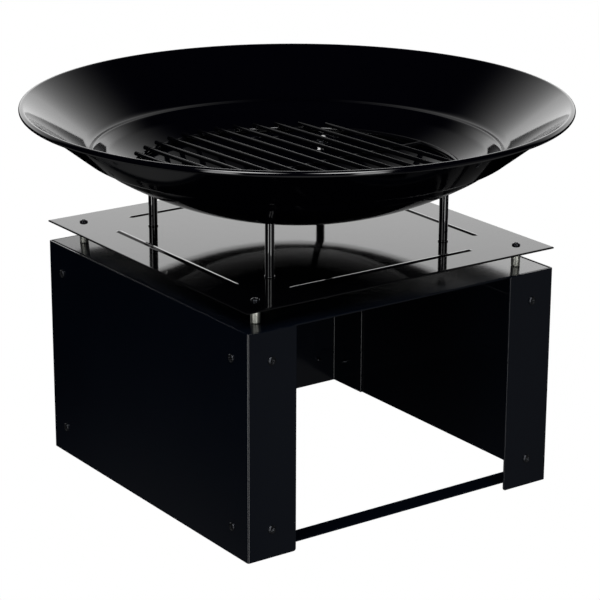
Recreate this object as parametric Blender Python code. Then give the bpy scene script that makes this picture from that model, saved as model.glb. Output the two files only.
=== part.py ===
"""Fire pit: a round enamelled bowl with a loose grate, bolted on four posts over a square heat
plate, which stands on spacers on a folded sheet-steel base that is open in front for logs.

Metres, +Z up. The origin is the middle of the base on the ground, and the open front faces -Y.
Sheets, posts, bowl and fasteners are separate bodies with a small gap where they touch.
"""

import math

import bmesh
import bpy
from mathutils import Vector

# ---------------------------------------------------------------- driving dimensions
BASE_WIDTH = 0.400          # outer width and depth of the square base
BASE_HEIGHT = 0.248         # ground to the top of the base
SHEET = 0.002               # thickness of every folded sheet
GAP = 0.0003                # clearance left between pieces that touch
FLANGE = 0.060              # width of the folded front and back flanges
BEND_RADIUS = 0.0025        # outer radius of a fold
FREE_CORNER_RADIUS = 0.003  # rounded free corners of the flanges
TOP_SKIRT = 0.048           # height of the top sheet's turned-down edges

SCREW_INSET = 0.029         # panel screws, from the vertical edges of the base
SCREW_RISE = 0.032          # panel screws, from the top and bottom edges of the base
PANEL_SCREW_RADIUS = 0.0020
PANEL_SCREW_LENGTH = 0.011
PANEL_HEAD_RADIUS = 0.0045
PANEL_HEAD_HEIGHT = 0.0026

TIE_WIDTH = 0.022           # strip on the ground that ties the side panels in front
TIE_TAB_HEIGHT = 0.046      # its turned-up ends, which take the lower screws

PLATE_WIDTH = 0.400
PLATE_TOP = 0.2715
PLATE_CORNER_RADIUS = 0.0015
BEAD_OFFSET = 0.158         # stiffening beads, from the middle of the plate
BEAD_LENGTH = 0.238
BEAD_WIDTH = 0.007
BEAD_RISE = 0.0018

SPACER_OFFSET = 0.171       # spacers and their screws, from the middle of the plate
SPACER_RADIUS = 0.005
PLATE_SCREW_RADIUS = 0.0022
PLATE_HEAD_RADIUS = 0.0047
PLATE_HEAD_HEIGHT = 0.0026
PLATE_NUT_RADIUS = 0.0046
PLATE_NUT_HEIGHT = 0.0034

POST_OFFSET = 0.1146        # posts, from the middle of the plate
POST_RADIUS = 0.005
BOLT_RADIUS = 0.0028        # bowl bolts and post foot screws
BOLT_HEAD_RADIUS = 0.0056
BOLT_HEAD_HEIGHT = 0.0034
BOLT_GRIP = 0.014           # length of thread inside a post
WASHER_RADIUS = 0.0090
WASHER_THICKNESS = 0.0012

BOWL_SPHERE_RADIUS = 0.405  # outside of the dished floor
BOWL_BOTTOM = 0.2973        # lowest point of the bowl
BOWL_SHEET = 0.002
CREASE_RADIUS = 0.230       # where the dished floor turns into the straight flared wall
RIM_RADIUS = 0.300          # outside of the rolled rim
RIM_TOP = 0.4215
RIM_ROLL_RADIUS = 0.0035
SEAT_RADIUS = 0.0125        # round seats for the posts, pressed in the floor
SEAT_BOTTOM = 0.3295
SEAT_FLOOR = 0.3332         # where the washers lie
SEAT_TOP = 0.3374
SEAT_RECESS_RADIUS = 0.0100

GRATE_RING_RADIUS = 0.179   # centre line of the ring
GRATE_RING_WIRE = 0.003     # wire radius of the ring
GRATE_CROSS_WIRE = 0.0028   # wire radius of the cross bar
GRATE_BAR_WIRE = 0.0025     # wire radius of the parallel bars
GRATE_BAR_COUNT = 13
GRATE_BAR_PITCH = 0.023
GRATE_BAR_OVERHANG = 0.005  # bar ends, past the ring's centre line
GRATE_WELD_DEPTH = 0.0006   # how far crossing wires melt into each other
GRATE_TURN = math.radians(3.0)
GRATE_REST_GAP = 0.0009     # between the ring and the bowl's faceted floor

CLEARANCE = 0.0005          # radial clearance of screw holes

# ---------------------------------------------------------------- values that follow
HALF = BASE_WIDTH / 2
INNER = HALF - SHEET - GAP                  # outside of a sheet nested in the side panels
SCREW_PLACE = HALF - SCREW_INSET
SCREW_HEIGHTS = {"lower": SCREW_RISE, "upper": BASE_HEIGHT - SCREW_RISE}
PLATE_BOTTOM = PLATE_TOP - SHEET
BOWL_CENTRE = BOWL_BOTTOM + BOWL_SPHERE_RADIUS
POST_CIRCLE = POST_OFFSET * math.sqrt(2)
CORNERS = {
    "front_left": (-1, -1),
    "front_right": (1, -1),
    "back_left": (-1, 1),
    "back_right": (1, 1),
}

FINE = 64                   # sides of the bowl and the grate's ring
ROUND = 14                  # sides of posts, spacers and washers
SMALL = 10                  # sides of screws and holes


# ---------------------------------------------------------------- scene and materials
def clear_scene():
    """Remove every object that the file starts with."""
    for old in list(bpy.data.objects):
        bpy.data.objects.remove(old, do_unlink=True)


def make_material(name, colour, roughness, metallic=0.0):
    """Return a Principled material of one colour."""
    material = bpy.data.materials.new(name)
    material.use_nodes = True
    shader = material.node_tree.nodes["Principled BSDF"]
    shader.inputs["Base Color"].default_value = (*colour, 1.0)
    shader.inputs["Roughness"].default_value = roughness
    shader.inputs["Metallic"].default_value = metallic
    return material


clear_scene()
POWDER_COAT = make_material("black_powder_coat", (0.010, 0.012, 0.016), 0.38)
BOWL_ENAMEL = make_material("black_bowl_enamel", (0.006, 0.006, 0.008), 0.08)
PLATE_ENAMEL = make_material("black_plate_enamel", (0.007, 0.007, 0.009), 0.12)
WIRE_ENAMEL = make_material("black_wire_enamel", (0.010, 0.010, 0.011), 0.25)
POST_COAT = make_material("black_post_coat", (0.012, 0.012, 0.014), 0.22)
BRIGHT_ZINC = make_material("bright_zinc_tube", (0.60, 0.61, 0.57), 0.45, 1.0)
FASTENER_STEEL = make_material("black_fastener_steel", (0.060, 0.062, 0.068), 0.35, 0.8)


def make_object(name, mesh_data, material, smooth=False):
    """Turn a bmesh into an object of its own with outward faces."""
    bmesh.ops.recalc_face_normals(mesh_data, faces=mesh_data.faces[:])
    mesh = bpy.data.meshes.new(name)
    mesh_data.to_mesh(mesh)
    mesh_data.free()
    mesh.materials.append(material)
    if smooth:
        mesh.shade_smooth()
        mesh.set_sharp_from_angle(angle=math.radians(40))
    piece = bpy.data.objects.new(name, mesh)
    bpy.context.scene.collection.objects.link(piece)
    return piece


# ---------------------------------------------------------------- shape helpers
def extrude_outline(outline, bottom, top):
    """Extrude a closed plan outline of (x, y) points from bottom to top."""
    shape = bmesh.new()
    ring = [shape.verts.new((x, y, bottom)) for x, y in outline]
    face = shape.faces.new(ring)
    grown = bmesh.ops.extrude_face_region(shape, geom=[face])
    moved = [item for item in grown["geom"] if isinstance(item, bmesh.types.BMVert)]
    bmesh.ops.translate(shape, verts=moved, vec=(0, 0, top - bottom))
    return shape


def arc(centre, radius, start, end, steps):
    """Points of a circular arc, with the angles in degrees."""
    points = []
    for step in range(steps + 1):
        angle = math.radians(start + (end - start) * step / steps)
        points.append((centre[0] + radius * math.cos(angle), centre[1] + radius * math.sin(angle)))
    return points


def lathe(profile, sides):
    """Turn a profile of (radius, z) points about Z; points on the axis close into a pole."""
    shape = bmesh.new()
    rings = []
    for radius, height in profile:
        if radius < 1e-9:
            rings.append([shape.verts.new((0, 0, height))])
            continue
        ring = []
        for side in range(sides):
            angle = 2 * math.pi * side / sides
            ring.append(shape.verts.new((radius * math.cos(angle), radius * math.sin(angle), height)))
        rings.append(ring)
    pairs = list(zip(rings, rings[1:]))
    if len(rings[0]) > 1 and len(rings[-1]) > 1:
        pairs.append((rings[-1], rings[0]))
    for lower, upper in pairs:
        for side in range(sides):
            following = (side + 1) % sides
            corners = [lower[side % len(lower)], lower[following % len(lower)],
                       upper[following % len(upper)], upper[side % len(upper)]]
            shape.faces.new(list(dict.fromkeys(corners)))
    return shape


def add_cylinder(shape, radius, start, end, sides=SMALL):
    """Add a closed cylinder between two points to a bmesh."""
    start = Vector(start)
    axis = Vector(end) - start
    turn = axis.to_track_quat("Z", "Y").to_matrix().to_4x4()
    made = bmesh.ops.create_cone(shape, cap_ends=True, segments=sides, radius1=radius,
                                 radius2=radius, depth=axis.length)
    bmesh.ops.transform(shape, matrix=turn, verts=made["verts"])
    bmesh.ops.translate(shape, verts=made["verts"], vec=start + axis / 2)


def add_box(shape, low, high):
    """Add a closed box between two corners to a bmesh."""
    made = bmesh.ops.create_cube(shape, size=1.0)
    size = [top - bottom for bottom, top in zip(low, high)]
    middle = [(top + bottom) / 2 for bottom, top in zip(low, high)]
    bmesh.ops.scale(shape, verts=made["verts"], vec=size)
    bmesh.ops.translate(shape, verts=made["verts"], vec=middle)


def hide_helper(helper):
    """Mark an object as a cutter or a part that is joined into another one."""
    helper.hide_render = True
    helper.display_type = "WIRE"


def combine(piece, name, shape, operation):
    """Cut a shape out of a piece, or join it on, with a live Boolean."""
    helper = make_object(name, shape, piece.data.materials[0])
    hide_helper(helper)
    change = piece.modifiers.new(name, "BOOLEAN")
    change.operation = operation
    change.solver = "EXACT"
    change.object = helper


def drill(piece, holes):
    """Cut round holes, each (start, end, radius), through a piece."""
    drills = bmesh.new()
    for start, end, radius in holes:
        add_cylinder(drills, radius + CLEARANCE, start, end)
    combine(piece, piece.name + "_drills", drills, "DIFFERENCE")


# ---------------------------------------------------------------- places of the panel screws
def panel_screw_places():
    """Name, head seat and inward direction of the two screws on each side of each corner."""
    places = []
    for corner, (side, depth) in CORNERS.items():
        for level, height in SCREW_HEIGHTS.items():
            places.append((f"panel_screw_{corner}_side_{level}",
                           Vector((side * HALF, depth * SCREW_PLACE, height)),
                           Vector((-side, 0, 0))))
            places.append((f"panel_screw_{corner}_face_{level}",
                           Vector((side * SCREW_PLACE, depth * HALF, height)),
                           Vector((0, -depth, 0))))
    return places


def screw_holes(wanted):
    """Holes for the panel screws whose name passes the test."""
    holes = []
    for name, seat, inward in panel_screw_places():
        if wanted(name):
            holes.append((seat - inward * 0.01, seat + inward * 0.02, PANEL_SCREW_RADIUS))
    return holes


# ---------------------------------------------------------------- base
def folded_c_outline(side):
    """Plan outline of a side panel: wall, front flange and back flange with rounded folds."""
    inner_radius = BEND_RADIUS - SHEET
    fold = HALF - BEND_RADIUS
    outline = [(-HALF + FLANGE, HALF - SHEET)]
    outline += arc((-fold, fold), inner_radius, 90, 180, 3)
    outline += arc((-fold, -fold), inner_radius, 180, 270, 3)
    outline += [(-HALF + FLANGE, -HALF + SHEET), (-HALF + FLANGE, -HALF)]
    outline += arc((-fold, -fold), BEND_RADIUS, 270, 180, 5)
    outline += arc((-fold, fold), BEND_RADIUS, 180, 90, 5)
    outline += [(-HALF + FLANGE, HALF)]
    return [(-side * x, y) for x, y in outline]


def round_free_corners(shape, edge_x, height):
    """Round the top and bottom corners of the flanges' free edges."""
    corners = []
    for edge in shape.edges:
        first, second = (corner.co for corner in edge.verts)
        on_edge = abs(first.x - edge_x) < 1e-6 and abs(second.x - edge_x) < 1e-6
        level = abs(first.z - second.z) < 1e-6 and min(abs(first.z), abs(first.z - height)) < 1e-6
        if on_edge and level and abs(first.y - second.y) < 2 * SHEET:
            corners.append(edge)
    bmesh.ops.bevel(shape, geom=corners, offset=FREE_CORNER_RADIUS, segments=3,
                    profile=0.5, affect="EDGES")


def side_panel(name, side):
    """One C-shaped side panel; side is -1 on the left and +1 on the right."""
    shape = extrude_outline(folded_c_outline(side), 0.0, BASE_HEIGHT)
    round_free_corners(shape, side * (HALF - FLANGE), BASE_HEIGHT)
    panel = make_object(name, shape, POWDER_COAT)
    own_side = "left" if side < 0 else "right"
    drill(panel, screw_holes(lambda screw: own_side in screw))
    return panel


def back_panel():
    """U-shaped back panel, nested in the side panels; its flanges reach forward."""
    inner_radius = BEND_RADIUS - SHEET
    fold = INNER - BEND_RADIUS
    front = HALF - FLANGE
    outline = [(-INNER + SHEET, front)]
    outline += arc((-fold, fold), inner_radius, 180, 90, 3)
    outline += arc((fold, fold), inner_radius, 90, 0, 3)
    outline += [(INNER - SHEET, front), (INNER, front)]
    outline += arc((fold, fold), BEND_RADIUS, 0, 90, 5)
    outline += arc((-fold, fold), BEND_RADIUS, 90, 180, 5)
    outline += [(-INNER, front)]
    panel = make_object("back_panel", extrude_outline(outline, 0.0, BASE_HEIGHT - SHEET - GAP),
                        POWDER_COAT)
    drill(panel, screw_holes(lambda screw: "_back_" in screw))
    return panel


def top_panel():
    """Flat top sheet with turned-down sides and two front tabs, nested in the side panels."""
    shape = bmesh.new()
    add_box(shape, (-INNER, -INNER, BASE_HEIGHT - SHEET), (INNER, INNER, BASE_HEIGHT))
    panel = make_object("top_panel", shape, POWDER_COAT)
    skirt_bottom = BASE_HEIGHT - TOP_SKIRT
    skirt_back = HALF - FLANGE - 2 * GAP
    sheet_middle = BASE_HEIGHT - SHEET / 2
    for side, word in ((-1, "left"), (1, "right")):
        skirt = bmesh.new()
        low_x, high_x = sorted((side * INNER, side * (INNER - SHEET)))
        add_box(skirt, (low_x, -INNER, skirt_bottom), (high_x, skirt_back, sheet_middle))
        combine(panel, f"top_skirt_{word}", skirt, "UNION")
        tab = bmesh.new()
        low_x, high_x = sorted((side * (INNER - SHEET / 2), side * (HALF - FLANGE + GAP)))
        add_box(tab, (low_x, -INNER, skirt_bottom), (high_x, -INNER + SHEET, sheet_middle))
        combine(panel, f"top_tab_{word}", tab, "UNION")
    holes = screw_holes(lambda screw: "_front_" in screw and screw.endswith("upper"))
    for side, depth in CORNERS.values():
        place = (side * SPACER_OFFSET, depth * SPACER_OFFSET)
        holes.append(((*place, BASE_HEIGHT - 0.01), (*place, BASE_HEIGHT + 0.01),
                      PLATE_SCREW_RADIUS))
    drill(panel, holes)
    return panel


def front_tie_strip():
    """Strip along the ground; its ends turn up in the front corners and take the low screws."""
    shape = bmesh.new()
    front = -SCREW_PLACE - TIE_WIDTH / 2
    add_box(shape, (-INNER, front, 0.0), (INNER, front + TIE_WIDTH, SHEET))
    strip = make_object("front_tie_strip", shape, POWDER_COAT)
    for side, word in ((-1, "left"), (1, "right")):
        end = bmesh.new()
        low_x, high_x = sorted((side * INNER, side * (INNER - SHEET)))
        add_box(end, (low_x, -INNER, SHEET / 2), (high_x, front + TIE_WIDTH, TIE_TAB_HEIGHT))
        combine(strip, f"tie_end_{word}", end, "UNION")
        lug = bmesh.new()
        low_x, high_x = sorted((side * (INNER - SHEET / 2), side * (SCREW_PLACE - TIE_WIDTH / 2)))
        add_box(lug, (low_x, -INNER, SHEET), (high_x, -INNER + SHEET, TIE_TAB_HEIGHT))
        combine(strip, f"tie_lug_{word}", lug, "UNION")
    drill(strip, screw_holes(lambda screw: "_front_" in screw and screw.endswith("lower")))
    return strip


# ---------------------------------------------------------------- fasteners
def screw_profile(shank_radius, length, head_radius, head_height):
    """Profile of a pan-head screw with its seat at z = 0 and its shank pointing down."""
    dome = [(head_radius * math.cos(math.radians(angle)),
             head_height * (0.35 + 0.65 * math.sin(math.radians(angle))))
            for angle in (0, 45)]
    tip = 0.6 * shank_radius
    return [(0.0, -length), (shank_radius - tip, -length), (shank_radius, -length + tip),
            (shank_radius, 0.0), (head_radius, 0.0), *dome, (0.0, head_height)]


def place_screws():
    """All panel screws: thread-forming screws with domed heads, standing out of the panels."""
    for name, seat, inward in panel_screw_places():
        shape = lathe(screw_profile(PANEL_SCREW_RADIUS, PANEL_SCREW_LENGTH, PANEL_HEAD_RADIUS,
                                    PANEL_HEAD_HEIGHT), SMALL)
        screw = make_object(name, shape, FASTENER_STEEL, smooth=True)
        screw.rotation_euler = inward.to_track_quat("-Z", "Y").to_euler()
        screw.location = seat - inward * GAP


def plate_fixings(corner, side, depth):
    """Spacer, screw and nut that hold one corner of the heat plate."""
    place = (side * SPACER_OFFSET, depth * SPACER_OFFSET)
    bore = PLATE_SCREW_RADIUS + CLEARANCE
    low = BASE_HEIGHT + GAP
    high = PLATE_BOTTOM - GAP
    spacer = make_object(f"plate_spacer_{corner}",
                         lathe([(bore, low), (SPACER_RADIUS, low), (SPACER_RADIUS, high),
                                (bore, high)], ROUND), BRIGHT_ZINC, smooth=True)
    spacer.location = (*place, 0)
    nut_top = BASE_HEIGHT - SHEET - GAP
    nut_bottom = nut_top - PLATE_NUT_HEIGHT
    nut = make_object(f"plate_nut_{corner}",
                      lathe([(bore, nut_bottom), (PLATE_NUT_RADIUS, nut_bottom),
                             (PLATE_NUT_RADIUS, nut_top), (bore, nut_top)], 6), FASTENER_STEEL)
    nut.location = (*place, 0)
    length = PLATE_TOP - nut_bottom + 0.0015
    screw = make_object(f"plate_screw_{corner}",
                        lathe(screw_profile(PLATE_SCREW_RADIUS, length, PLATE_HEAD_RADIUS,
                                            PLATE_HEAD_HEIGHT), SMALL), FASTENER_STEEL, smooth=True)
    screw.location = (*place, PLATE_TOP + GAP)


# ---------------------------------------------------------------- heat plate
def rounded_square(half, radius):
    """Outline of a square with rounded corners."""
    inset = half - radius
    outline = arc((inset, inset), radius, 0, 90, 4)
    outline += arc((-inset, inset), radius, 90, 180, 4)
    outline += arc((-inset, -inset), radius, 180, 270, 4)
    outline += arc((inset, -inset), radius, 270, 360, 4)
    return outline


def bead_shape(side_x, side_y):
    """A raised bead along one edge of the plate: a half-round bar with round ends."""
    reach = BEAD_LENGTH / 2 - BEAD_WIDTH / 2
    shape = bmesh.new()
    rows = []
    for angle in (0, 22, 45, 67):
        width = BEAD_WIDTH / 2 * math.cos(math.radians(angle))
        height = BEAD_RISE * math.sin(math.radians(angle))
        outline = arc((reach, 0), width, -90, 90, 6) + arc((-reach, 0), width, 90, 270, 6)
        rows.append([shape.verts.new((x, y, height)) for x, y in outline])
    ridge = arc((reach, 0), 0.0004, -90, 90, 6) + arc((-reach, 0), 0.0004, 90, 270, 6)
    rows.append([shape.verts.new((x, y, BEAD_RISE)) for x, y in ridge])
    rows.insert(0, [shape.verts.new((corner.co.x, corner.co.y, -SHEET / 2)) for corner in rows[0]])
    for lower, upper in zip(rows, rows[1:]):
        for step in range(len(lower)):
            following = (step + 1) % len(lower)
            shape.faces.new((lower[step], lower[following], upper[following], upper[step]))
    shape.faces.new(rows[-1])
    shape.faces.new(list(reversed(rows[0])))
    along = Vector((side_y, side_x, 0)).to_track_quat("X", "Z").to_matrix().to_4x4()
    bmesh.ops.transform(shape, matrix=along, verts=shape.verts[:])
    bmesh.ops.translate(shape, verts=shape.verts[:],
                        vec=(side_x * BEAD_OFFSET, side_y * BEAD_OFFSET, PLATE_TOP))
    return shape


def heat_plate():
    """Square enamelled plate with a stamped bead along each edge."""
    shape = extrude_outline(rounded_square(PLATE_WIDTH / 2, PLATE_CORNER_RADIUS),
                            PLATE_BOTTOM, PLATE_TOP)
    plate = make_object("heat_plate", shape, PLATE_ENAMEL)
    for word, side_x, side_y in (("left", -1, 0), ("right", 1, 0), ("front", 0, -1), ("back", 0, 1)):
        combine(plate, f"plate_bead_{word}", bead_shape(side_x, side_y), "UNION")
    holes = []
    for side, depth in CORNERS.values():
        for offset, radius in ((SPACER_OFFSET, PLATE_SCREW_RADIUS), (POST_OFFSET, BOLT_RADIUS)):
            place = (side * offset, depth * offset)
            holes.append(((*place, PLATE_BOTTOM - 0.01), (*place, PLATE_TOP + 0.01), radius))
    drill(plate, holes)
    return plate


# ---------------------------------------------------------------- posts and bowl bolts
def post_fixings(corner, side, depth):
    """One post with its foot screw from below and the bowl's bolt and washer from above."""
    place = (side * POST_OFFSET, depth * POST_OFFSET)
    bore = BOLT_RADIUS + CLEARANCE
    low = PLATE_TOP + GAP
    high = SEAT_BOTTOM - GAP
    post = make_object(f"bowl_post_{corner}",
                       lathe([(bore, low), (POST_RADIUS, low), (POST_RADIUS, high), (bore, high)],
                             ROUND), POST_COAT, smooth=True)
    post.location = (*place, 0)

    foot = make_object(f"post_foot_screw_{corner}",
                       lathe(screw_profile(BOLT_RADIUS, SHEET + BOLT_GRIP, BOLT_HEAD_RADIUS,
                                           BOLT_HEAD_HEIGHT), SMALL), FASTENER_STEEL, smooth=True)
    foot.rotation_euler = (math.pi, 0, 0)
    foot.location = (*place, PLATE_BOTTOM - GAP)

    washer_bottom = SEAT_FLOOR + GAP
    washer_top = washer_bottom + WASHER_THICKNESS
    washer = make_object(f"bowl_washer_{corner}",
                         lathe([(bore, washer_bottom), (WASHER_RADIUS, washer_bottom),
                                (WASHER_RADIUS, washer_top), (bore, washer_top)], ROUND),
                         FASTENER_STEEL, smooth=True)
    washer.location = (*place, 0)

    length = washer_top + GAP - SEAT_BOTTOM + BOLT_GRIP
    bolt = make_object(f"bowl_bolt_{corner}",
                       lathe(screw_profile(BOLT_RADIUS, length, BOLT_HEAD_RADIUS,
                                           BOLT_HEAD_HEIGHT), SMALL), FASTENER_STEEL, smooth=True)
    bolt.location = (*place, washer_top + GAP)


# ---------------------------------------------------------------- bowl
def floor_height(radius, sphere_radius):
    """Height of a sphere about the bowl's centre, below it, at a distance from the axis."""
    return BOWL_CENTRE - math.sqrt(sphere_radius ** 2 - radius ** 2)


def bowl_profile():
    """Outside from the bottom up, round the rolled rim, and back down the inside."""
    inside_radius = BOWL_SPHERE_RADIUS - BOWL_SHEET
    outside = []
    inside = []
    floor_steps = 10
    for step in range(floor_steps + 1):
        radius = CREASE_RADIUS * step / floor_steps
        outside.append((radius, floor_height(radius, BOWL_SPHERE_RADIUS)))
        inside.append((radius, floor_height(radius, inside_radius)))
    roll_centre = (RIM_RADIUS - RIM_ROLL_RADIUS, RIM_TOP - RIM_ROLL_RADIUS)
    roll = arc(roll_centre, RIM_ROLL_RADIUS, -80, 190, 8)
    return outside + roll + list(reversed(inside))


def bowl():
    """Dished bowl with a flared wall, a rolled rim and four pressed seats for the posts."""
    piece = make_object("fire_bowl", lathe(bowl_profile(), FINE), BOWL_ENAMEL, smooth=True)
    seats = bmesh.new()
    recesses = bmesh.new()
    holes = []
    for side, depth in CORNERS.values():
        place = (side * POST_OFFSET, depth * POST_OFFSET)
        add_cylinder(seats, SEAT_RADIUS, (*place, SEAT_BOTTOM), (*place, SEAT_TOP), ROUND)
        add_cylinder(recesses, SEAT_RECESS_RADIUS, (*place, SEAT_FLOOR), (*place, SEAT_TOP + 0.01),
                     ROUND)
        holes.append(((*place, SEAT_BOTTOM - 0.01), (*place, SEAT_TOP + 0.01), BOLT_RADIUS))
    combine(piece, "bowl_seats", seats, "UNION")
    combine(piece, "bowl_seat_recesses", recesses, "DIFFERENCE")
    drill(piece, holes)
    return piece


# ---------------------------------------------------------------- grate
def grate_ring(height):
    """The ring of the grate, a wire torus."""
    wire = arc((GRATE_RING_RADIUS, height), GRATE_RING_WIRE, 0, 360, 8)[:-1]
    return lathe(wire, FINE)


def grate():
    """Loose grate: parallel bars on a ring and one cross bar, all welded."""
    rest_radius = BOWL_SPHERE_RADIUS - BOWL_SHEET - GRATE_REST_GAP - GRATE_RING_WIRE
    ring_height = floor_height(GRATE_RING_RADIUS, rest_radius)
    bar_height = ring_height + GRATE_RING_WIRE + GRATE_BAR_WIRE - GRATE_WELD_DEPTH
    piece = make_object("grate", grate_ring(0.0), WIRE_ENAMEL, smooth=True)
    piece.location = (0, 0, ring_height)
    piece.rotation_euler = (0, 0, GRATE_TURN)

    cross = bmesh.new()
    add_cylinder(cross, GRATE_CROSS_WIRE, (-GRATE_RING_RADIUS, 0, 0), (GRATE_RING_RADIUS, 0, 0), 8)
    combine(piece, "grate_cross_bar", cross, "UNION")

    bars = bmesh.new()
    end_radius = GRATE_RING_RADIUS + GRATE_BAR_OVERHANG
    for number in range(GRATE_BAR_COUNT):
        offset = (number - (GRATE_BAR_COUNT - 1) / 2) * GRATE_BAR_PITCH
        reach = math.sqrt(end_radius ** 2 - offset ** 2)
        add_cylinder(bars, GRATE_BAR_WIRE, (offset, -reach, bar_height - ring_height),
                     (offset, reach, bar_height - ring_height), 8)
    combine(piece, "grate_bars", bars, "UNION")
    for helper in (bpy.data.objects["grate_cross_bar"], bpy.data.objects["grate_bars"]):
        helper.parent = piece
    return piece


# ---------------------------------------------------------------- assembly
side_panel("left_side_panel", -1)
side_panel("right_side_panel", 1)
back_panel()
top_panel()
front_tie_strip()
place_screws()
heat_plate()
for corner_name, (corner_side, corner_depth) in CORNERS.items():
    plate_fixings(corner_name, corner_side, corner_depth)
    post_fixings(corner_name, corner_side, corner_depth)
bowl()
grate()
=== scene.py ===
import bmesh
import bpy
import numpy as np
from mathutils import Matrix


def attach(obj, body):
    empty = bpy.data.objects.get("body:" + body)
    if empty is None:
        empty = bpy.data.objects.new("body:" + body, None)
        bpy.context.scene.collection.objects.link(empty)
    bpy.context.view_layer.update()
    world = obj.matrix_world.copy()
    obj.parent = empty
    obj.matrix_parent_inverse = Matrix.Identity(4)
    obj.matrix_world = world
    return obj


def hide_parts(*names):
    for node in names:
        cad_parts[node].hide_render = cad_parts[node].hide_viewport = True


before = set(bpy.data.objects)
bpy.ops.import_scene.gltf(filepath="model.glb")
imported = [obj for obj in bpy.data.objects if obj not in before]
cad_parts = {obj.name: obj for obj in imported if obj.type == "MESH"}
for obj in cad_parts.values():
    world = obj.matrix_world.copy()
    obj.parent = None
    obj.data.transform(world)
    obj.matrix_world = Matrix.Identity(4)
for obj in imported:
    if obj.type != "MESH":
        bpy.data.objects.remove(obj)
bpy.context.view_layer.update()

# ================================================================ side panels
# Two C-shaped panels of 2 mm sheet steel, folded along both vertical edges and powder coated
# black. Their front flanges frame the open front; their free corners are rounded.

SHEET = 0.002
BASE_HALF = 0.200
BASE_TOP = 0.248
FLANGE_INNER = 0.140
FOLD_RADIUS = 0.0015          # on the sheet's centre line
SHEET_EDGE = 0.00045          # deburred and coated edge of every sheet
CORNER_ROUND = 0.003
FIT_GAP = 0.0003
EDGE_FLAT = 0.0004            # flat left between a rounded edge and the next row of faces
PATH_END_FLAT = 0.0008        # the same, along a path


def linear(hex_colour):
    """sRGB hex to linear RGBA: v / 12.92 below 0.04045, ((v + 0.055) / 1.055) ** 2.4 above."""
    value = np.array([int(hex_colour[i:i + 2], 16) / 255 for i in (1, 3, 5)])
    low = value / 12.92
    high = ((value + 0.055) / 1.055) ** 2.4
    return (*np.where(value <= 0.04045, low, high).tolist(), 1.0)


def add_node(tree, kind, settings=None, links=None):
    """Add a node; settings are properties or input values, links are input names to outputs."""
    node = tree.nodes.new(kind)
    for name, value in (settings or {}).items():
        if isinstance(name, str) and hasattr(node, name):
            setattr(node, name, value)
        else:
            node.inputs[name].default_value = value
    for name, output in (links or {}).items():
        tree.links.new(output, node.inputs[name])
    return node


def new_material(name):
    """An empty Principled material; returns it with its tree and shader."""
    material = bpy.data.materials.new(name)
    material.use_nodes = True
    return material, material.node_tree, material.node_tree.nodes["Principled BSDF"]


def make_piece(name, grids, material, sharp=35.0):
    """One mesh from grids of points. Each grid is (points[rows, columns, 3], closed_columns): every
    cell of the grid is one face. Equal points are merged, so poles and seams close."""
    vertices = []
    faces = []
    start = 0
    for points, closed in grids:
        rows, columns = points.shape[:2]
        index = start + np.arange(rows * columns).reshape(rows, columns)
        following = np.roll(index, -1, axis=1) if closed else index[:, 1:]
        here = index if closed else index[:, :-1]
        cells = np.stack([here[:-1], following[:-1], following[1:], here[1:]], axis=-1)
        vertices.append(points.reshape(-1, 3))
        faces.append(cells.reshape(-1, 4))
        start += rows * columns
    mesh = bpy.data.meshes.new(name)
    mesh.from_pydata(np.concatenate(vertices), [], np.concatenate(faces))
    work = bmesh.new()
    work.from_mesh(mesh)
    bmesh.ops.remove_doubles(work, verts=work.verts, dist=1e-6)
    bmesh.ops.dissolve_degenerate(work, edges=work.edges, dist=1e-7)
    bmesh.ops.recalc_face_normals(work, faces=work.faces)
    work.to_mesh(mesh)
    work.free()
    mesh.materials.append(material)
    mesh.shade_smooth()
    mesh.set_sharp_from_angle(angle=np.radians(sharp))
    piece = bpy.data.objects.new(name, mesh)
    bpy.context.scene.collection.objects.link(piece)
    return piece


def finish_piece(piece, body, material_slot, *nodes):
    """Tie a piece to its CAD body and hide the CAD nodes that it stands for."""
    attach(piece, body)
    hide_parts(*nodes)


def folded_path(corners, radius, steps=8):
    """A centre line through corner points with each inner corner rounded: straight runs joined by
    arcs. Columns are distance along it, position (2) and left-hand normal (2)."""
    corners = np.array(corners, float)
    runs = np.diff(corners, axis=0)
    runs /= np.linalg.norm(runs, axis=1)[:, None]
    places = [corners[0]]
    normals = [np.array([-runs[0, 1], runs[0, 0]])]
    for corner, before, after in zip(corners[1:-1], runs[:-1], runs[1:]):
        centre = corner - radius * before + radius * after
        side = np.sign(before[0] * after[1] - before[1] * after[0])
        turn = np.linspace(0, np.pi / 2, steps + 1)[:, None]
        outward = -after * np.cos(turn) + before * np.sin(turn)
        places.extend(centre + radius * outward)
        normals.extend(-side * outward)
    places.append(corners[-1])
    normals.append(np.array([-runs[-1, 1], runs[-1, 0]]))
    places = np.array(places)
    along = np.concatenate([[0], np.cumsum(np.linalg.norm(np.diff(places, axis=0), axis=1))])
    return np.column_stack([along, places, normals])


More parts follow.
